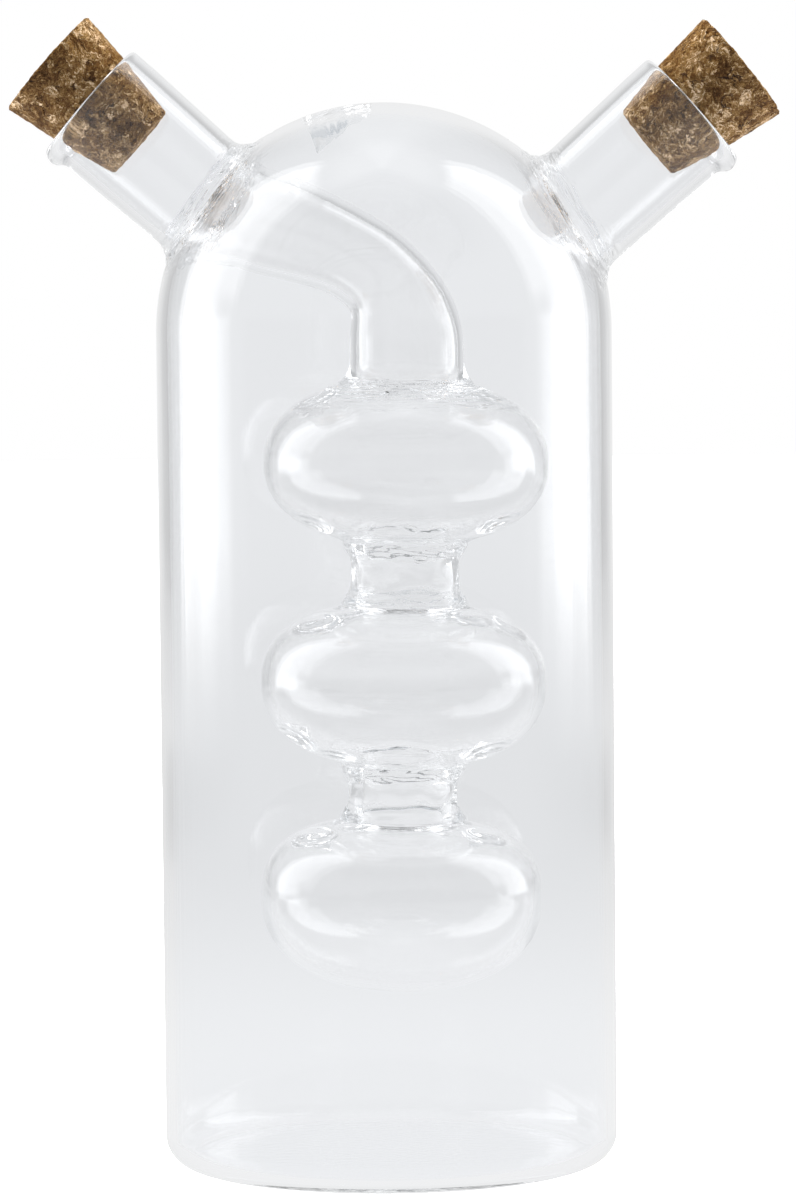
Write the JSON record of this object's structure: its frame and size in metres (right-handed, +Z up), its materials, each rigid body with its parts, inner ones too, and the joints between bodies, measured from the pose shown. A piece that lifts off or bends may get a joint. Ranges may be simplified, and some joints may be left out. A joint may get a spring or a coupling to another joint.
{
  "type": "oil and vinegar bottle",
  "caption": "Domed glass bottle for oil with a stack of glass bulbs inside it for vinegar, a slanted pouring neck for each and tapered cork stoppers.",
  "frame": {"origin": "centre of the base's flat underside, on the flask's own axis", "axes": "+Z up; +X from the flask's axis towards the oil neck, with the vinegar neck towards -X; +Y towards the back of the pictured view"},
  "size_m": [0.1266, 0.075, 0.1896],
  "materials": {
    "flask_glass": "clear, fire-polished",
    "inner_glass": "clear, fire-polished",
    "cork": "ground natural cork"
  },
  "bodies": {
    "vessel": {"flask_body": "flask_glass", "vinegar_neck": "flask_glass", "oil_neck": "flask_glass", "feed_tube": "inner_glass", "upper_bulb": "inner_glass", "upper_waist": "inner_glass", "middle_bulb": "inner_glass", "lower_waist": "inner_glass", "lower_bulb": "inner_glass"},
    "vinegar_stopper": {"vinegar_stopper": "cork"},
    "oil_stopper": {"oil_stopper": "cork"}
  },
  "joints": [
    {"name": "vinegar_stopper_pull", "type": "slide", "parent": "vessel", "child": "vinegar_stopper", "axis": [-0.749, 0, 0.6626], "range_m": [0, 0.03]},
    {"name": "oil_stopper_pull", "type": "slide", "parent": "vessel", "child": "oil_stopper", "axis": [0.7815, 0, 0.6239], "range_m": [0, 0.03]}
  ]
}
